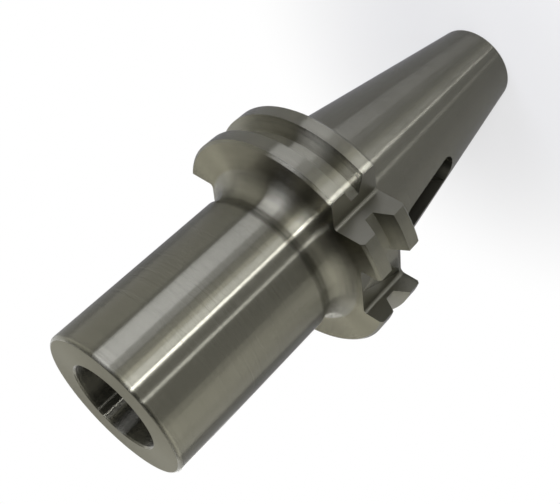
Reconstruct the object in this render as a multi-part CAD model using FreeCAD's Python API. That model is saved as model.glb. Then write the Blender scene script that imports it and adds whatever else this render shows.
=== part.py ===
import FreeCAD, Part
import math
import os

# A steel adapter that holds a Morse No. 3 tang shank in a spindle with a 7/24 steep taper, size 40.
# It is one turned, milled and ground piece. It stands on the small end of its shank, nose up:
# the origin is the centre of that end, +Z runs to the nose and +X runs through a drive slot.

# Steep taper shank
GAUGE_DIAMETER = 44.45          # diameter at the gauge plane
SHANK_LENGTH = 68.4             # small end to gauge plane
SHANK_TAPER = 7.0 / 24.0        # change of diameter for each millimetre of length
SHANK_END_CHAMFER = 0.8
RELIEF_WIDTH = 1.8              # grinding relief beside the flange
RELIEF_DEPTH = 0.5

# Flange, measured from the gauge plane
FLANGE_DIAMETER = 63.55
FLANGE_REAR = 3.2
FLANGE_FRONT = 19.1
FLANGE_EDGE = 0.7
GROOVE_CENTRE = 11.1
GROOVE_FLOOR_DIAMETER = 56.25
GROOVE_HALF_ANGLE = 30.0
GROOVE_PIN_DIAMETER = 7.0       # gauge pins that lie in the groove
GROOVE_OVER_PINS = 72.3         # size over two such pins

# Cuts in the flange
DRIVE_SLOT_WIDTH = 16.1
DRIVE_SLOT_CORNER = 1.0
SHALLOW_SLOT_FLOOR = 25.0       # axis to floor of the slot on +X
DEEP_SLOT_FLOOR = 22.8          # axis to floor of the slot on -X
SLOT_LEAD_LENGTH = 1.4          # the slots widen towards their rear end
SLOT_LEAD_DEPTH = 0.4
NOTCH_ANGLE = 45.0              # from the slot on +X, anticlockwise seen from the nose
NOTCH_OPENING = 90.0
NOTCH_POINT = 25.2              # axis to the point where the notch's walls would meet
NOTCH_CORNER = 1.0

# Neck and nose, lengths from the gauge plane
NECK_DIAMETER = 39.0
NECK_FILLET = 6.0
BODY_START = 26.5
BODY_DIAMETER = 40.0
BODY_EDGE = 0.4
NOSE_LENGTH = 75.0
NOSE_EDGE_RADIUS = 1.0

# Morse No. 3 socket, depths from the nose face
SOCKET_MOUTH_DIAMETER = 23.825
SOCKET_TAPER = 1.0 / 19.922
SOCKET_TANG_DIAMETER = 20.2
SOCKET_DEPTH = 84.0
SOCKET_CHAMFER = 0.4
DRILL_POINT_ANGLE = 118.0

# Drift slot across the shank, start measured from the nose face
DRIFT_START = 78.0
DRIFT_LENGTH = 27.0
DRIFT_WIDTH = 7.9

# Drawbar thread M16 in the small end, depths from that end
PILOT_DIAMETER = 17.0
PILOT_DEPTH = 7.0
PILOT_CHAMFER = 0.8
THREAD_CORE_DIAMETER = 13.835
THREAD_DRILL_DEPTH = 30.0

# Sizes that follow from these
GAUGE_Z = SHANK_LENGTH
NOSE_Z = GAUGE_Z + NOSE_LENGTH
FLANGE_REAR_Z = GAUGE_Z + FLANGE_REAR
FLANGE_FRONT_Z = GAUGE_Z + FLANGE_FRONT
FLANGE_RADIUS = FLANGE_DIAMETER / 2
GAUGE_RADIUS = GAUGE_DIAMETER / 2
SHANK_END_RADIUS = GAUGE_RADIUS - SHANK_LENGTH * SHANK_TAPER / 2
CUT_MARGIN = 2.0                # how far each cutting form runs past the steel

ORIGIN = FreeCAD.Vector(0, 0, 0)
AXIS = FreeCAD.Vector(0, 0, 1)


def point(radius, height):
    """A point of a turned profile, which lies in the XZ plane."""
    return FreeCAD.Vector(radius, 0, height)


def line(start, end):
    return Part.LineSegment(start, end).toShape()


def arc(start, centre, end):
    """The quarter arc from start to end round centre, in the XZ plane."""
    radius = start.distanceToPoint(centre)
    outward = start.sub(centre).add(end.sub(centre)).normalize()
    middle = centre.add(outward.multiply(radius))
    return Part.Arc(start, middle, end).toShape()


def turned(edges):
    """The solid that a closed profile makes in one turn about Z."""
    return Part.Face(Part.Wire(edges)).revolve(ORIGIN, AXIS, 360)


def turned_polygon(points):
    corners = points + points[:1]
    return turned([line(a, b) for a, b in zip(corners, corners[1:])])


def drill_point(radius):
    """The height of the cone that a twist drill leaves."""
    return radius / math.tan(math.radians(DRILL_POINT_ANGLE / 2))


def turned_blank():
    """Shank, flange, neck and nose as one outline, bottom to top."""
    taper_start = SHANK_END_RADIUS + SHANK_END_CHAMFER * SHANK_TAPER / 2
    relief_radius = GAUGE_RADIUS - RELIEF_DEPTH
    relief_z = FLANGE_REAR_Z - RELIEF_WIDTH
    neck_radius = NECK_DIAMETER / 2
    body_radius = BODY_DIAMETER / 2
    body_z = GAUGE_Z + BODY_START

    outline = [
        point(0, 0),
        point(SHANK_END_RADIUS - SHANK_END_CHAMFER, 0),
        point(taper_start, SHANK_END_CHAMFER),
        point(GAUGE_RADIUS, GAUGE_Z),
        point(GAUGE_RADIUS, relief_z),
        point(relief_radius, relief_z + RELIEF_DEPTH),
        point(relief_radius, FLANGE_REAR_Z),
        point(FLANGE_RADIUS - FLANGE_EDGE, FLANGE_REAR_Z),
        point(FLANGE_RADIUS, FLANGE_REAR_Z + FLANGE_EDGE),
        point(FLANGE_RADIUS, FLANGE_FRONT_Z - FLANGE_EDGE),
        point(FLANGE_RADIUS - FLANGE_EDGE, FLANGE_FRONT_Z),
        point(neck_radius + NECK_FILLET, FLANGE_FRONT_Z),
    ]
    edges = [line(a, b) for a, b in zip(outline, outline[1:])]

    fillet_start = outline[-1]
    fillet_centre = point(neck_radius + NECK_FILLET, FLANGE_FRONT_Z + NECK_FILLET)
    fillet_end = point(neck_radius, FLANGE_FRONT_Z + NECK_FILLET)
    edges.append(arc(fillet_start, fillet_centre, fillet_end))

    upper = [
        fillet_end,
        point(neck_radius, body_z),
        point(body_radius - BODY_EDGE, body_z),
        point(body_radius, body_z + BODY_EDGE),
        point(body_radius, NOSE_Z - NOSE_EDGE_RADIUS),
    ]
    edges += [line(a, b) for a, b in zip(upper, upper[1:])]

    edge_centre = point(body_radius - NOSE_EDGE_RADIUS, NOSE_Z - NOSE_EDGE_RADIUS)
    face_rim = point(body_radius - NOSE_EDGE_RADIUS, NOSE_Z)
    edges.append(arc(upper[-1], edge_centre, face_rim))
    edges.append(line(face_rim, point(0, NOSE_Z)))
    edges.append(line(point(0, NOSE_Z), outline[0]))
    return turned(edges)


def gripper_groove():
    """The V groove round the flange, placed by the gauge pins that touch its flanks."""
    slope = math.tan(math.radians(GROOVE_HALF_ANGLE))
    pin_radius = GROOVE_PIN_DIAMETER / 2
    pin_centre = GROOVE_OVER_PINS / 2 - pin_radius
    at_pin = pin_radius / math.cos(math.radians(GROOVE_HALF_ANGLE))
    floor_radius = GROOVE_FLOOR_DIAMETER / 2
    outer_radius = FLANGE_RADIUS + CUT_MARGIN
    floor_half = at_pin + (floor_radius - pin_centre) * slope
    outer_half = at_pin + (outer_radius - pin_centre) * slope
    centre_z = GAUGE_Z + GROOVE_CENTRE
    return turned_polygon([
        point(floor_radius, centre_z - floor_half),
        point(outer_radius, centre_z - outer_half),
        point(outer_radius, centre_z + outer_half),
        point(floor_radius, centre_z + floor_half),
    ])


def morse_socket():
    """The self-holding taper, its mouth chamfer and the drilled end that clears the tang."""
    mouth_radius = SOCKET_MOUTH_DIAMETER / 2
    tang_radius = SOCKET_TANG_DIAMETER / 2
    taper_depth = (SOCKET_MOUTH_DIAMETER - SOCKET_TANG_DIAMETER) / SOCKET_TAPER
    chamfer_radius = mouth_radius - SOCKET_CHAMFER * SOCKET_TAPER / 2
    bottom_z = NOSE_Z - SOCKET_DEPTH
    top_radius = mouth_radius + SOCKET_CHAMFER + CUT_MARGIN
    return turned_polygon([
        point(0, bottom_z - drill_point(tang_radius)),
        point(tang_radius, bottom_z),
        point(tang_radius, NOSE_Z - taper_depth),
        point(chamfer_radius, NOSE_Z - SOCKET_CHAMFER),
        point(top_radius, NOSE_Z + CUT_MARGIN),
        point(0, NOSE_Z + CUT_MARGIN),
    ])


def drift_slot():
    """The slot for the drift key, round at both ends, right through the shank along X."""
    half_width = DRIFT_WIDTH / 2
    top_z = NOSE_Z - DRIFT_START
    bottom_z = top_z - DRIFT_LENGTH
    half_span = GAUGE_RADIUS + CUT_MARGIN
    low = bottom_z + half_width
    high = top_z - half_width

    def at(y, z):
        return FreeCAD.Vector(-half_span, y, z)

    edges = [
        line(at(half_width, low), at(half_width, high)),
        Part.Arc(at(half_width, high), at(0, top_z), at(-half_width, high)).toShape(),
        line(at(-half_width, high), at(-half_width, low)),
        Part.Arc(at(-half_width, low), at(0, bottom_z), at(half_width, low)).toShape(),
    ]
    return Part.Face(Part.Wire(edges)).extrude(FreeCAD.Vector(2 * half_span, 0, 0))


def slot_lead(floor):
    """Solids that widen the rear end of a slot on +X: a wedge for the floor, one for both walls, two cones."""
    half_width = DRIVE_SLOT_WIDTH / 2
    radius = DRIVE_SLOT_CORNER
    inner = half_width - radius
    outer = FLANGE_RADIUS + CUT_MARGIN
    low = FLANGE_REAR_Z - CUT_MARGIN
    high = FLANGE_REAR_Z + SLOT_LEAD_LENGTH
    spread = SLOT_LEAD_DEPTH * (high - low) / SLOT_LEAD_LENGTH

    floor_profile = Part.makePolygon([
        FreeCAD.Vector(outer, -inner, low),
        FreeCAD.Vector(floor - spread, -inner, low),
        FreeCAD.Vector(floor, -inner, high),
        FreeCAD.Vector(outer, -inner, high),
        FreeCAD.Vector(outer, -inner, low),
    ])
    start = floor + radius
    wall_profile = Part.makePolygon([
        FreeCAD.Vector(start, -half_width - spread, low),
        FreeCAD.Vector(start, half_width + spread, low),
        FreeCAD.Vector(start, half_width, high),
        FreeCAD.Vector(start, -half_width, high),
        FreeCAD.Vector(start, -half_width - spread, low),
    ])
    solids = [
        Part.Face(floor_profile).extrude(FreeCAD.Vector(0, 2 * inner, 0)),
        Part.Face(wall_profile).extrude(FreeCAD.Vector(outer - start, 0, 0)),
    ]
    for y in (-inner, inner):
        solids.append(Part.makeCone(radius + spread, radius, high - low,
                                    FreeCAD.Vector(start, y, low), AXIS))
    return solids


def drive_slot(floor, direction):
    """The solids of a key slot through the flange; direction is +1 or -1 along X."""
    depth = FLANGE_RADIUS + CUT_MARGIN - floor
    bottom_z = FLANGE_REAR_Z - CUT_MARGIN
    height = FLANGE_FRONT_Z + NECK_FILLET - bottom_z
    slot = Part.makeBox(depth, DRIVE_SLOT_WIDTH, height,
                        FreeCAD.Vector(floor, -DRIVE_SLOT_WIDTH / 2, bottom_z))
    corners = [e for e in slot.Edges if e.BoundBox.XMax < floor + 0.001
               and e.BoundBox.ZLength > height / 2]
    solids = [slot.makeFillet(DRIVE_SLOT_CORNER, corners)] + slot_lead(floor)
    if direction < 0:
        for solid in solids:
            solid.rotate(ORIGIN, AXIS, 180)
    return solids


def orientation_notch():
    """The V notch through the flange that marks one side, round at the bottom."""
    outer = FLANGE_RADIUS + CUT_MARGIN
    half_width = (outer - NOTCH_POINT) * math.tan(math.radians(NOTCH_OPENING / 2))
    bottom_z = FLANGE_REAR_Z - CUT_MARGIN
    height = FLANGE_FRONT_Z + NECK_FILLET - bottom_z
    outline = Part.makePolygon([
        FreeCAD.Vector(NOTCH_POINT, 0, bottom_z),
        FreeCAD.Vector(outer, -half_width, bottom_z),
        FreeCAD.Vector(outer, half_width, bottom_z),
        FreeCAD.Vector(NOTCH_POINT, 0, bottom_z),
    ])
    notch = Part.Face(outline).extrude(FreeCAD.Vector(0, 0, height))
    bottom = [e for e in notch.Edges if e.BoundBox.XMax < NOTCH_POINT + 0.001]
    notch = notch.makeFillet(NOTCH_CORNER, bottom)
    notch.rotate(ORIGIN, AXIS, NOTCH_ANGLE)
    return notch


def drawbar_hole():
    """Pilot bore, thread core and drill point in the small end."""
    pilot_radius = PILOT_DIAMETER / 2
    core_radius = THREAD_CORE_DIAMETER / 2
    core_chamfer = pilot_radius - core_radius
    mouth = pilot_radius + PILOT_CHAMFER + CUT_MARGIN
    return turned_polygon([
        point(0, -CUT_MARGIN),
        point(mouth, -CUT_MARGIN),
        point(pilot_radius, PILOT_CHAMFER),
        point(pilot_radius, PILOT_DEPTH),
        point(core_radius, PILOT_DEPTH + core_chamfer),
        point(core_radius, THREAD_DRILL_DEPTH),
        point(0, THREAD_DRILL_DEPTH + drill_point(core_radius)),
    ])


def adapter_body():
    cuts = [
        gripper_groove(),
        morse_socket(),
        drift_slot(),
        *drive_slot(SHALLOW_SLOT_FLOOR, 1),
        *drive_slot(DEEP_SLOT_FLOOR, -1),
        orientation_notch(),
        drawbar_hole(),
    ]
    body = turned_blank()
    for cut in cuts:
        body = body.cut(cut)
    return body.removeSplitter()


def main():
    os.makedirs("parts", exist_ok=True)
    body = adapter_body()
    if len(body.Solids) != 1 or not body.isValid():
        raise RuntimeError("the adapter body is not one valid solid")
    solid = body.Solids[0]
    solid.exportStep("parts/adapter_body.step")
    size = solid.BoundBox
    print("size %.2f x %.2f x %.2f" % (size.XLength, size.YLength, size.ZLength))
    print("volume %.0f, mass %.3f kg" % (solid.Volume, solid.Volume * 7.85e-6))


main()
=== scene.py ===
import math

import bpy
import numpy as np
from bpy.props import FloatProperty, FloatVectorProperty, PointerProperty
from mathutils import Matrix, Vector


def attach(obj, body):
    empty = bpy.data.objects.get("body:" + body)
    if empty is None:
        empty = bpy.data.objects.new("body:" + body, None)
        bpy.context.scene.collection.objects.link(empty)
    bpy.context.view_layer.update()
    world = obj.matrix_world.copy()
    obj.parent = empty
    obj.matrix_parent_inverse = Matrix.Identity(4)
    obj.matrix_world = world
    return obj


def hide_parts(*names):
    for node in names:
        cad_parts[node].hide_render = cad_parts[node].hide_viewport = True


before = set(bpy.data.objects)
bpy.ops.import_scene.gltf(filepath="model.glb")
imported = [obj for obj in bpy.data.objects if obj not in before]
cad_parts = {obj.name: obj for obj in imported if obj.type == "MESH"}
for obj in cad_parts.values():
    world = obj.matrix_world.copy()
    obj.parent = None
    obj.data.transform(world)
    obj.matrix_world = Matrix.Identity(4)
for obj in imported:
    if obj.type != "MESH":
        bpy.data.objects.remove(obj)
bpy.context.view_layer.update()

bl_info = {
    "name": "Steep Taper Adapter",
    "version": (1, 0, 0),
    "blender": (4, 5, 0),
    "location": "3D View > Sidebar > Adapter",
    "description": "Ground and turned steel for a steep taper adapter with a self-holding socket",
    "category": "Object",
}

NODE = "adapter_body"
MM = 0.001

# Heights along the axis, from the small end up.
PILOT_TOP = 7.0 * MM
THREAD_TOP = 30.0 * MM
SOCKET_LOW = 59.4 * MM
GAUGE_Z = 68.4 * MM
NECK_Z = 87.6 * MM
SHOULDER_Z = 94.9 * MM
BODY_Z = 95.3 * MM
BODY_TOP = 142.4 * MM
NOSE_FACE_LOW = 143.0 * MM

# Radii.
THREAD_CORE = 6.9175 * MM
THREAD_ROOT = 8.0 * MM
PILOT_RADIUS = 8.5 * MM
SHANK_LEAST = 10.0 * MM
SOCKET_MOST = 12.0 * MM

THREAD_PITCH = 2.0 * MM
THREAD_CONE_END = 8.5825 * MM
HAIR = 0.01 * MM

COOL = (0.97, 0.99, 1.12)
COOLER = (0.95, 0.98, 1.22)


class AdapterSteelSettings(bpy.types.PropertyGroup):
    """Colours and finish of the steel."""
    steel_colour: FloatVectorProperty(
        name="Steel", description="Colour of the turned steel", subtype="COLOR",
        default=(0.167, 0.161, 0.123), min=0, max=1)
    ground_colour: FloatVectorProperty(
        name="Ground steel", description="Colour of the ground shank and socket", subtype="COLOR",
        default=(0.163, 0.157, 0.120), min=0, max=1)
    turned_roughness: FloatProperty(
        name="Turned roughness", description="Roughness of turned faces", default=0.20,
        min=0, max=1, subtype="FACTOR")
    ground_roughness: FloatProperty(
        name="Ground roughness", description="Roughness of ground faces", default=0.20,
        min=0, max=1, subtype="FACTOR")
    milled_roughness: FloatProperty(
        name="Milled roughness", description="Roughness of milled slots", default=0.40,
        min=0, max=1, subtype="FACTOR")


class AdapterStageSettings(bpy.types.PropertyGroup):
    """Floor and even light."""
    floor_colour: FloatVectorProperty(
        name="Floor", description="Colour of the floor", subtype="COLOR",
        default=(0.86, 0.86, 0.86), min=0, max=1)
    floor_radius: FloatProperty(
        name="Floor radius", description="Flat part of the round floor", default=1.2,
        min=0.2, unit="LENGTH")
    world_level: FloatProperty(
        name="World level", description="Even light from all round", default=0.06, min=0)


def face_surface(node):
    """The CAD node's triangles with equal corners merged: points and index triples."""
    mesh = bpy.data.objects[node].data
    points = np.empty(len(mesh.vertices) * 3)
    mesh.vertices.foreach_get("co", points)
    points = points.reshape(-1, 3)
    mesh.calc_loop_triangles()
    corners = np.empty(len(mesh.loop_triangles) * 3, dtype=np.int32)
    mesh.loop_triangles.foreach_get("vertices", corners)
    grid = np.round(points / (0.0005 * MM)).astype(np.int64)
    _, first, merged = np.unique(grid, axis=0, return_index=True, return_inverse=True)
    faces = merged.reshape(-1)[corners].reshape(-1, 3)
    whole = (faces[:, 0] != faces[:, 1]) & (faces[:, 1] != faces[:, 2]) & (faces[:, 2] != faces[:, 0])
    return points[first], faces[whole]


def unit(vectors):
    """Each row divided by its length."""
    return vectors / np.maximum(np.linalg.norm(vectors, axis=-1, keepdims=True), 1e-12)


def corner_pairs(corner_vertex):
    """All pairs of face corners that share a vertex, as two index arrays."""
    order = np.argsort(corner_vertex, kind="stable")
    _, start, count = np.unique(corner_vertex[order], return_index=True, return_counts=True)
    group_size = np.repeat(count, count)
    group_start = np.repeat(start, count)
    first = np.repeat(order, group_size)
    steps = np.arange(len(first)) - np.repeat(np.cumsum(group_size) - group_size, group_size)
    second = order[np.repeat(group_start, group_size) + steps]
    return first, second


CREASE = math.cos(math.radians(26))
TURNED_LEAN = math.sin(math.radians(3))
SMALL_FACE_LEAN = math.sin(math.radians(7))
SMALL_FACE = 0.24 * MM * MM         # twice the area
LOOKS_OUT = 0.85
NEAR_WALL = math.cos(math.radians(8))
# Outer walls of known slope: lowest and highest z, and the normal's rise over its reach.
TRUE_WALLS = ((0.0, GAUGE_Z, -7 / 48), (BODY_Z, BODY_TOP, 0.0))


def smooth_corners(points, faces):
    """A normal for each face corner, and each face's turned mark, profile normal and centre.

    The normal of a corner is the area-weighted mean of the normals of the faces round its vertex
    that lie within the crease angle. On a turned face the mean is taken in the profile plane and
    then turned to the vertex's own direction from the axis, so that it is true at every vertex.
    A face is turned when its normal leans less than 3 degrees out of the profile plane, or 7
    degrees when it is smaller than 0.12 square millimetres and so less certain. Off the flange,
    every face that looks outwards is turned, and those on a true wall take the wall's slope.
    """
    a, b, c = points[faces[:, 0]], points[faces[:, 1]], points[faces[:, 2]]
    cross = np.cross(b - a, c - a)
    area = np.linalg.norm(cross, axis=1)
    flat = unit(cross)
    centre = (a + b + c) / 3
    outward = unit(centre * (1, 1, 0))
    around = np.stack([-outward[:, 1], outward[:, 0], np.zeros(len(outward))], axis=1)
    limit = np.where(area < SMALL_FACE, SMALL_FACE_LEAN, TURNED_LEAN)
    reach = (flat * outward).sum(1)
    turned = np.abs((flat * around).sum(1)) < limit
    turned |= (reach > LOOKS_OUT) & ((centre[:, 2] < GAUGE_Z) | (centre[:, 2] > NECK_Z))
    profile = unit(np.stack([reach, np.zeros(len(flat)), flat[:, 2]], axis=1))
    for low, high, rise in TRUE_WALLS:
        true = unit(np.array([[1.0, 0.0, rise]]))[0]
        wall = turned & (centre[:, 2] > low) & (centre[:, 2] < high)
        profile[wall & (profile @ true > NEAR_WALL)] = true
    basis = np.where(turned[:, None], profile, flat)

    vertex = faces.reshape(-1)
    owner = np.repeat(np.arange(len(faces)), 3)
    first, second = corner_pairs(vertex)
    face_i, face_j = owner[first], owner[second]
    alike = (turned[face_i] == turned[face_j]) & ((basis[face_i] * basis[face_j]).sum(1) > CREASE)
    total = np.zeros((len(vertex), 3))
    weighted = basis[face_j[alike]] * area[face_j[alike], None]
    np.add.at(total, first[alike], weighted)
    total = unit(total)

    direction = unit(points[vertex] * (1, 1, 0))
    lifted = direction * total[:, :1] + np.array([0, 0, 1]) * total[:, 2:]
    return np.where(turned[owner][:, None], lifted, total), turned, profile, centre


def mesh_object(name, points, faces, normals=None):
    """A smooth mesh in the scene, with its own corner normals where they are given."""
    mesh = bpy.data.meshes.new(name)
    mesh.from_pydata(points.tolist(), [], faces.tolist())
    mesh.polygons.foreach_set("use_smooth", [True] * len(faces))
    mesh.update()
    if normals is not None:
        mesh.normals_split_custom_set(normals.tolist())
    piece = bpy.data.objects.new(name, mesh)
    bpy.context.scene.collection.objects.link(piece)
    return piece


class Nodes:
    """A short way to add shader nodes and link them."""

    def __init__(self, tree):
        self.tree = tree

    def add(self, kind, *inputs, **settings):
        """A new node, with its settings and its first inputs."""
        node = self.tree.nodes.new(kind)
        for key, value in settings.items():
            setattr(node, key, value)
        for index, value in enumerate(inputs):
            self.put(node.inputs[index], value)
        return node

    def put(self, socket, value):
        """Links an output to the socket, or sets the socket's own value; None leaves it."""
        if isinstance(value, bpy.types.NodeSocket):
            self.tree.links.new(value, socket)
        elif value is not None:
            socket.default_value = value

    def maths(self, operation, *values):
        """The output of a Math node."""
        return self.add("ShaderNodeMath", *values, operation=operation).outputs[0]


def node_group(name, inputs, outputs):
    """An empty node group with named number inputs and outputs, and its node helper."""
    tree = bpy.data.node_groups.new(name, "ShaderNodeTree")
    for label, value in inputs:
        socket = tree.interface.new_socket(label, in_out="INPUT", socket_type="NodeSocketFloat")
        socket.default_value = value
    for label in outputs:
        tree.interface.new_socket(label, in_out="OUTPUT", socket_type="NodeSocketFloat")
    return tree, Nodes(tree)


def ring_place(nodes, parts, source):
    """Where a point lies across the rings, times the rings per metre.

    Place = height * (1 - across) + radius * across, so that the rings follow a turned wall where
    across is 0 and a faced end where across is 1.
    """
    flat = nodes.add("ShaderNodeCombineXYZ", parts.outputs[0], parts.outputs[1], 0.0)
    radius = nodes.add("ShaderNodeVectorMath", flat.outputs[0], operation="LENGTH").outputs["Value"]
    place = nodes.add("ShaderNodeMix", source.outputs[1], None, parts.outputs[2], radius).outputs[0]
    return nodes.maths("MULTIPLY", place, source.outputs[0])


def noise_1d(nodes, place, detail):
    """Noise along one line."""
    noise = nodes.add("ShaderNodeTexNoise", noise_dimensions="1D")
    nodes.put(noise.inputs["W"], place)
    noise.inputs["Detail"].default_value = detail
    return noise.outputs[0]


def tool_marks_group():
    """Fine rings left by turning and grinding, and a slow cloudy change of tone."""
    name = "tool_marks"
    if name in bpy.data.node_groups:
        return bpy.data.node_groups[name]
    tree, nodes = node_group(name, (("Rings per metre", 6000), ("Across", 0)), ("Height", "Tone", "Cloud"))
    source = nodes.add("NodeGroupInput")
    spot = nodes.add("ShaderNodeTexCoord").outputs["Object"]
    place = ring_place(nodes, nodes.add("ShaderNodeSeparateXYZ", spot), source)
    height = noise_1d(nodes, place, 3)
    tone = noise_1d(nodes, nodes.maths("MULTIPLY", place, 0.25), 2)
    cloud = nodes.add("ShaderNodeTexNoise", noise_dimensions="3D")
    nodes.put(cloud.inputs["Vector"], spot)
    cloud.inputs["Scale"].default_value = 55
    cloud.inputs["Detail"].default_value = 4
    sink = nodes.add("NodeGroupOutput")
    nodes.put(sink.inputs["Height"], height)
    nodes.put(sink.inputs["Tone"], tone)
    nodes.put(sink.inputs["Cloud"], cloud.outputs[0])
    return tree


NOISE_SPREAD = 0.11


def round_the_axis(nodes, parts):
    """The direction (-y, x, 0) of the tool marks at a point."""
    turned = nodes.maths("MULTIPLY", parts.outputs[1], -1.0)
    return nodes.add("ShaderNodeCombineXYZ", turned, parts.outputs[0], 0.0).outputs[0]


def groove_normal_group():
    """The normal on the flanks of fine tool marks, too fine to show one by one.

    With T = (-y, x, 0) along the marks and B = N x T across them, the normal is
    unit(N + B * slope * (noise - 1/2) / 0.11), 0.11 being the noise's own spread.
    """
    name = "groove_normal"
    if name in bpy.data.node_groups:
        return bpy.data.node_groups[name]
    tree, nodes = node_group(name, (("Rings per metre", 6000), ("Across", 0), ("Slope", 0.3)), ())
    tree.interface.new_socket("Normal", in_out="OUTPUT", socket_type="NodeSocketVector")
    source = nodes.add("NodeGroupInput")
    parts = nodes.add("ShaderNodeSeparateXYZ", nodes.add("ShaderNodeTexCoord").outputs["Object"])
    noise = noise_1d(nodes, ring_place(nodes, parts, source), 1)
    lean = nodes.maths("MULTIPLY", nodes.maths("SUBTRACT", noise, 0.5), source.outputs[2])
    lean = nodes.maths("DIVIDE", lean, NOISE_SPREAD)
    normal = nodes.add("ShaderNodeNewGeometry").outputs["Normal"]
    along = round_the_axis(nodes, parts)
    across = nodes.add("ShaderNodeVectorMath", normal, along, operation="CROSS_PRODUCT").outputs[0]
    across = nodes.add("ShaderNodeVectorMath", across, operation="NORMALIZE").outputs[0]
    push = nodes.add("ShaderNodeVectorMath", across, operation="SCALE")
    nodes.put(push.inputs["Scale"], lean)
    total = nodes.add("ShaderNodeVectorMath", normal, push.outputs[0], operation="ADD").outputs[0]
    sink = nodes.add("NodeGroupOutput")
    nodes.put(sink.inputs[0], nodes.add("ShaderNodeVectorMath", total, operation="NORMALIZE").outputs[0])
    return tree


def spread_range(nodes, value, low, high):
    """Maps a noise value of 0.3 to 0.7 onto low to high."""
    node = nodes.add("ShaderNodeMapRange")
    nodes.put(node.inputs["Value"], value)
    for socket, number in (("From Min", 0.3), ("From Max", 0.7), ("To Min", low), ("To Max", high)):
        node.inputs[socket].default_value = number
    return node.outputs[0]


def shoulder_normal(nodes, normal, height, shoulder, reach=1.7 * MM, fade=0.6 * MM, slope=-0.26):
    """The normal leaned by slope along the axis near a shoulder, less and less over the fade."""
    away = nodes.maths("ABSOLUTE", nodes.maths("SUBTRACT", height, shoulder))
    near = nodes.maths("DIVIDE", nodes.maths("SUBTRACT", reach, away), fade)
    near = nodes.maths("MINIMUM", nodes.maths("MAXIMUM", near, 0.0), 1.0)
    down = nodes.add("ShaderNodeCombineXYZ", 0.0, 0.0, nodes.maths("MULTIPLY", near, slope))
    total = nodes.add("ShaderNodeVectorMath", normal, down.outputs[0], operation="ADD")
    return nodes.add("ShaderNodeVectorMath", total.outputs[0], operation="NORMALIZE").outputs[0]


def steel_material(name, colour, roughness, anisotropy, rings, depth, slope=0.0, across=0.0, tone=0.06,
                   edge=(1, 1, 1), shoulder=0.0):
    """Bare steel: metallic, highlights stretched across the tool marks.

    The marks lean the normal by their slope, or lift a bump of the given depth where slope is 0.
    Edge tints what a glancing view reflects. Near the height shoulder, the normal leans down as
    on the rounded flank of a step. The tangent runs round the axis, along the marks.
    """
    material = bpy.data.materials.new(name)
    material.use_nodes = True
    nodes = Nodes(material.node_tree)
    shader = material.node_tree.nodes["Principled BSDF"]
    marks = nodes.add("ShaderNodeGroup", rings, across, node_tree=tool_marks_group())
    shader.inputs["Metallic"].default_value = 1.0
    shader.inputs["Anisotropic"].default_value = anisotropy
    shader.inputs["Anisotropic Rotation"].default_value = 0.25
    shader.inputs["Specular Tint"].default_value = (*edge, 1)
    parts = nodes.add("ShaderNodeSeparateXYZ", nodes.add("ShaderNodeTexCoord").outputs["Object"])
    if anisotropy > 0:
        nodes.put(shader.inputs["Tangent"], round_the_axis(nodes, parts))

    tint = nodes.maths("MULTIPLY", spread_range(nodes, marks.outputs["Tone"], 1 - tone, 1 + tone),
                       spread_range(nodes, marks.outputs["Cloud"], 0.96, 1.04))
    shade = nodes.add("ShaderNodeVectorMath", tuple(colour), operation="SCALE")
    nodes.put(shade.inputs["Scale"], tint)
    nodes.put(shader.inputs["Base Color"], shade.outputs[0])

    gloss = nodes.maths("MULTIPLY", spread_range(nodes, marks.outputs["Tone"], 0.95, 1.05),
                        spread_range(nodes, marks.outputs["Cloud"], roughness * 0.92, roughness * 1.08))
    nodes.put(shader.inputs["Roughness"], gloss)

    if slope > 0:
        lean = nodes.add("ShaderNodeGroup", rings, across, slope, node_tree=groove_normal_group())
        normal = lean.outputs[0]
        if shoulder > 0:
            normal = shoulder_normal(nodes, normal, parts.outputs[2], shoulder)
        nodes.put(shader.inputs["Normal"], normal)
        return material
    bump = nodes.add("ShaderNodeBump")
    bump.inputs["Strength"].default_value = 1.0
    bump.inputs["Distance"].default_value = depth
    nodes.put(bump.inputs["Height"], marks.outputs["Height"])
    nodes.put(shader.inputs["Normal"], bump.outputs[0])
    return material


TURNED, FACED, GROUND, MILLED, BORED, NOSE = range(6)


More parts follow.
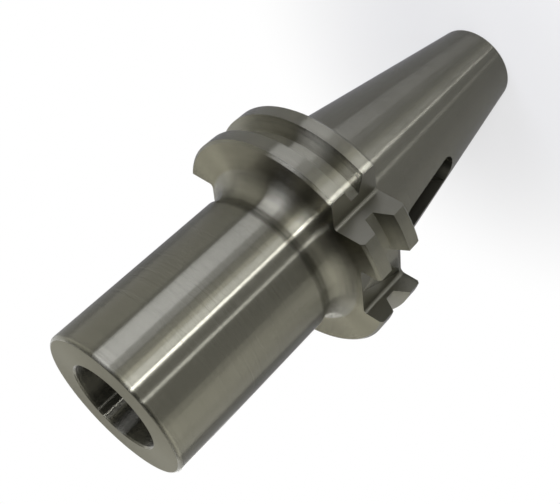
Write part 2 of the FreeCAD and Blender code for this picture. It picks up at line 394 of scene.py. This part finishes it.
class ADAPTER_OT_body(bpy.types.Operator):
    """Dress the adapter's solid with true normals and its steel finishes"""
    bl_idname = "adapter.body"
    bl_label = "Adapter Body"

    def execute(self, context):
        steel = context.scene.adapter_steel
        points, faces = face_surface(NODE)
        normals, turned, profile, centre = smooth_corners(points, faces)
        radius = np.linalg.norm(centre[:, :2], axis=1)
        height = centre[:, 2]
        threaded = turned & (height > PILOT_TOP + HAIR) & (height < THREAD_TOP - HAIR)
        threaded &= (radius < PILOT_RADIUS - HAIR) & (profile[:, 0] < -0.3)
        kept = np.repeat(~threaded, 3)
        turned, profile, height, radius = (part[~threaded] for part in (turned, profile, height, radius))
        piece = mesh_object("adapter", points, faces[~threaded], normals[kept])
        # In the order of TURNED to NOSE.
        finishes = (
            steel_material("turned_steel", steel.steel_colour, steel.turned_roughness, 1.0, 16000, 0,
                           slope=0.30, tone=0.045, shoulder=SHOULDER_Z),
            steel_material("faced_steel", steel.steel_colour, steel.turned_roughness, 1.0, 9000, 0,
                           slope=0.38, across=1.0, edge=(0.84, 0.82, 0.74)),
            steel_material("ground_steel", steel.ground_colour, steel.ground_roughness, 1.0, 20000, 0,
                           slope=0.30, tone=0.02),
            steel_material("milled_steel", steel.steel_colour, steel.milled_roughness, 0.0, 4000, 0.5e-6),
            # The socket's colour is the ground steel darkened to 0.65, which is painted shade in the deep
            # bore. Its roughness and groove slope are the bored finish.
            steel_material("bored_steel_painted_shade", [0.65 * part for part in steel.ground_colour], 0.12, 1.0, 20000,
                           0, slope=0.80, tone=0.03),
            steel_material("nose_steel", steel.steel_colour, 0.32, 0.5, 9000, 0, slope=0.06, across=1.0,
                           edge=(0.70, 0.69, 0.64)),
        )
        for material in finishes:
            piece.data.materials.append(material)
        flat = turned & (np.abs(profile[:, 2]) > 0.95)
        shank = turned & (height < GAUGE_Z) & (profile[:, 0] > 0.9) & (radius > SHANK_LEAST)
        socket = turned & (height > SOCKET_LOW) & (profile[:, 0] < -0.9) & (radius < SOCKET_MOST)
        kind = np.full(len(turned), MILLED)
        for faces_of, finish in ((turned, TURNED), (flat, FACED), (flat & (height > NOSE_FACE_LOW), NOSE),
                                 (shank, GROUND), (socket, BORED)):
            kind[faces_of] = finish
        piece.data.polygons.foreach_set("material_index", kind.astype(np.int32))
        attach(piece, "root")
        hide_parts(NODE)
        return {"FINISHED"}


def thread_surface(core, root, pitch, mouth, cone_end, top, columns, rows):
    """The wall of the drawbar thread, rings of quads from its mouth to its top.

    With f the fraction of z / pitch - angle / turn, the radius is
    core + (root - core) * clip((abs(2 f - 1) - 1/4) / (5/8), 0, 1) * fade(z),
    and never less than the cone that runs from the pilot bore at z = mouth to the core at cone_end.
    Fade goes from 1 to 0 over the last turn, 0.4 mm below the top.
    """
    z = np.concatenate([[mouth], np.linspace(mouth + 0.05 * MM, top, rows)])[:, None]
    turn = (np.arange(columns) / columns)[None, :]
    f = np.mod(z / pitch - turn, 1.0)
    fade = np.clip((top - 0.4 * MM - z) / pitch, 0, 1)
    wave = np.clip((np.abs(2 * f - 1) - 0.25) / 0.625, 0, 1) * fade
    radius = np.maximum(core + (root - core) * wave, core + cone_end - z)
    angle = 2 * np.pi * turn
    points = np.stack([radius * np.cos(angle), radius * np.sin(angle),
                       np.broadcast_to(z, radius.shape)], axis=2).reshape(-1, 3)
    i, j = np.meshgrid(np.arange(rows), np.arange(columns), indexing="ij")
    a = (i * columns + j).reshape(-1)
    b = (i * columns + (j + 1) % columns).reshape(-1)
    return points, np.stack([a, a + columns, b + columns, b], axis=1)


class ADAPTER_OT_thread(bpy.types.Operator):
    """Cut the drawbar thread into the small end's hole"""
    bl_idname = "adapter.thread"
    bl_label = "Drawbar Thread"

    def execute(self, context):
        steel = context.scene.adapter_steel
        points, faces = thread_surface(THREAD_CORE, THREAD_ROOT, THREAD_PITCH, PILOT_TOP,
                                       THREAD_CONE_END, THREAD_TOP, columns=120, rows=280)
        piece = mesh_object("drawbar_thread", points, faces)
        piece.data.materials.append(steel_material("threaded_steel", steel.steel_colour,
                                                   steel.milled_roughness, 0.0, 6000, 0.4e-6))
        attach(piece, "root")
        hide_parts(NODE)
        return {"FINISHED"}


def standing_lamp(name, azimuth, spread, level, distance=0.30, low=0.002, high=0.46, colour=(1, 1, 1)):
    """An upright lamp on a circle round the part; spread is the angle it covers, level 1 is white."""
    width = 2 * distance * math.tan(math.radians(spread / 2))
    middle = (low + high) / 2
    return soft_lamp(name, azimuth, distance, middle, width, high - low, level, middle, colour)


def soft_lamp(name, azimuth, distance, height, width, tall, level, aim_height, colour=(1, 1, 1)):
    """A soft rectangular lamp that faces the part's axis; level is its brightness, 1 being white."""
    light = bpy.data.lights.new(name, "AREA")
    light.shape = "RECTANGLE"
    light.color = colour
    light.size = width
    light.size_y = tall
    light.energy = level * math.pi * width * tall
    thing = bpy.data.objects.new(name, light)
    bpy.context.scene.collection.objects.link(thing)
    angle = math.radians(azimuth)
    place = Vector((distance * math.cos(angle), distance * math.sin(angle), height))
    look = Vector((0, 0, aim_height)) - place
    thing.matrix_world = Matrix.Translation(place) @ look.to_track_quat("-Z", "Y").to_matrix().to_4x4()
    thing.visible_camera = False
    return thing


def floor_disc(radius):
    """A flat round floor whose rim sweeps up: height = rise * t^2, t going from 0 to 1 over the sweep."""
    rings, turns, sweep, rise = 48, 96, 1.2, 1.4
    along = np.linspace(0, 1, rings + 1)[1:]
    reach = radius + sweep
    r = along * reach
    t = np.clip((r - radius) / sweep, 0, 1)
    z = rise * t * t
    angle = np.linspace(0, 2 * np.pi, turns, endpoint=False)
    grid = np.stack([np.outer(r, np.cos(angle)), np.outer(r, np.sin(angle)),
                     np.repeat(z[:, None], turns, axis=1)], axis=2).reshape(-1, 3)
    points = np.vstack([[0, 0, 0], grid])
    i, j = np.meshgrid(np.arange(rings - 1), np.arange(turns), indexing="ij")
    a = 1 + i * turns + j
    b = 1 + i * turns + (j + 1) % turns
    quads = np.stack([a, a + turns, b + turns, b], axis=2).reshape(-1, 4).tolist()
    k = np.arange(turns)
    hub = np.stack([np.zeros(turns, int), 1 + k, 1 + (k + 1) % turns], axis=1).tolist()
    return points, hub + quads


def step_up(nodes, value, start, end, least):
    """Rises smoothly from least at start to 1 at end."""
    node = nodes.add("ShaderNodeMapRange", interpolation_type="SMOOTHSTEP")
    nodes.put(node.inputs["Value"], value)
    node.inputs["From Min"].default_value = start
    node.inputs["From Max"].default_value = end
    node.inputs["To Min"].default_value = least
    return node.outputs[0]


def floor_material(colour):
    """White paper: lit near the part, so that it holds the shadow, and plain white further away."""
    material = bpy.data.materials.new("floor_paper")
    material.use_nodes = True
    tree = material.node_tree
    nodes = Nodes(tree)
    shader = tree.nodes["Principled BSDF"]
    shader.inputs["Base Color"].default_value = (*colour, 1)
    shader.inputs["Roughness"].default_value = 0.9
    shader.inputs["Specular IOR Level"].default_value = 0.1
    place = nodes.add("ShaderNodeTexCoord").outputs["Object"]
    reach = nodes.add("ShaderNodeVectorMath", place, operation="LENGTH").outputs["Value"]
    path = nodes.add("ShaderNodeLightPath")
    mirrored = nodes.maths("MAXIMUM", path.outputs["Is Glossy Ray"], path.outputs["Is Transmission Ray"])
    seen = nodes.maths("MULTIPLY", path.outputs["Is Camera Ray"], step_up(nodes, reach, 0.02, 0.10, 0.62))
    shown = nodes.maths("MULTIPLY", mirrored, step_up(nodes, reach, 0.50, 1.2, 0))
    white = nodes.add("ShaderNodeEmission", (1, 1, 1, 1), 1.0)
    mix = nodes.add("ShaderNodeMixShader", nodes.maths("MAXIMUM", seen, shown),
                    shader.outputs[0], white.outputs[0])
    nodes.put(tree.nodes["Material Output"].inputs["Surface"], mix.outputs[0])
    return material


class ADAPTER_OT_stage(bpy.types.Operator):
    """Set the floor, lamps, world and camera"""
    bl_idname = "adapter.stage"
    bl_label = "Stage"

    def execute(self, context):
        scene = context.scene
        stage = scene.adapter_stage
        points, faces = floor_disc(stage.floor_radius)
        mesh = bpy.data.meshes.new("floor")
        mesh.from_pydata(points.tolist(), [], faces)
        mesh.polygons.foreach_set("use_smooth", [True] * len(faces))
        floor = bpy.data.objects.new("floor", mesh)
        scene.collection.objects.link(floor)
        mesh.materials.append(floor_material(stage.floor_colour))

        self.light(scene, stage)
        self.aim_camera(scene)
        scene.view_settings.view_transform = "Standard"
        return {"FINISHED"}

    def light(self, scene, stage):
        """An even world, and lamps where the streaks on the part show them."""
        world = bpy.data.worlds.new("studio")
        world.use_nodes = True
        sky = world.node_tree.nodes["Background"]
        sky.inputs["Color"].default_value = (1, 1, 1, 1)
        sky.inputs["Strength"].default_value = stage.world_level
        scene.world = world

        standing_lamp("fill_left", -46, 26, 0.75)
        standing_lamp("fill_middle", -20, 26, 0.95)
        standing_lamp("fill_edge", -2, 10, 0.5)
        standing_lamp("thin_strip", 37.5, 3.6, 4.1, colour=COOL)
        standing_lamp("key_strip", 57.7, 3.4, 15.0, colour=COOL)
        standing_lamp("key_shoulder", 65.5, 9, 3.6, colour=COOL)
        standing_lamp("key_tail", 73, 5, 2.0)
        standing_lamp("key_end", 80, 9, 0.55)
        standing_lamp("side_edge", 91, 9, 0.95, colour=COOLER)
        standing_lamp("side_fill", 152, 46, 0.36)
        standing_lamp("side_box", 109, 26, 2.7, colour=COOLER)
        standing_lamp("rear_box", -105, 14, 1.8, distance=0.50, high=0.12)
        soft_lamp("back_box", 237, 0.80, 0.75, 1.10, 0.50, 0.7, 0.10)

    def aim_camera(self, scene):
        """The camera, fitted to the outline of the part."""
        camera_data = bpy.data.cameras.new("camera")
        camera_data.sensor_width = 36
        camera_data.lens = 60.259
        camera_data.shift_x = -0.2131
        camera_data.shift_y = -0.1781
        camera_data.clip_start = 10 * MM
        camera = bpy.data.objects.new("camera", camera_data)
        scene.collection.objects.link(camera)
        forward = Vector((-0.4332, -0.6986, -0.5694)).normalized()
        right = Vector((0.8065, -0.0184, -0.5910)).normalized()
        up = right.cross(forward).normalized()
        right = forward.cross(up).normalized()
        turn = Matrix((right, up, -forward)).transposed().to_4x4()
        camera.matrix_world = Matrix.Translation(Vector((115.67, 180.18, 190.69)) * MM) @ turn
        scene.camera = camera


class ADAPTER_PT_panel(bpy.types.Panel):
    """Lists the steps that build the adapter's looks"""
    bl_label = "Adapter"
    bl_space_type = "VIEW_3D"
    bl_region_type = "UI"
    bl_category = "Adapter"

    def draw(self, context):
        layout = self.layout
        for settings in (context.scene.adapter_steel, context.scene.adapter_stage):
            for name in settings.bl_rna.properties.keys():
                if name not in ("rna_type", "name"):
                    layout.prop(settings, name)
        for operator in STEPS:
            layout.operator(operator.bl_idname)


STEPS = (ADAPTER_OT_body, ADAPTER_OT_thread, ADAPTER_OT_stage)
CLASSES = (AdapterSteelSettings, AdapterStageSettings, *STEPS, ADAPTER_PT_panel)


def register():
    for item in CLASSES:
        bpy.utils.register_class(item)
    bpy.types.Scene.adapter_steel = PointerProperty(type=AdapterSteelSettings)
    bpy.types.Scene.adapter_stage = PointerProperty(type=AdapterStageSettings)


def unregister():
    del bpy.types.Scene.adapter_stage
    del bpy.types.Scene.adapter_steel
    for item in reversed(CLASSES):
        bpy.utils.unregister_class(item)


def main():
    register()
    bpy.ops.adapter.body()
    bpy.ops.adapter.thread()
    bpy.ops.adapter.stage()


if __name__ == "__main__":
    main()
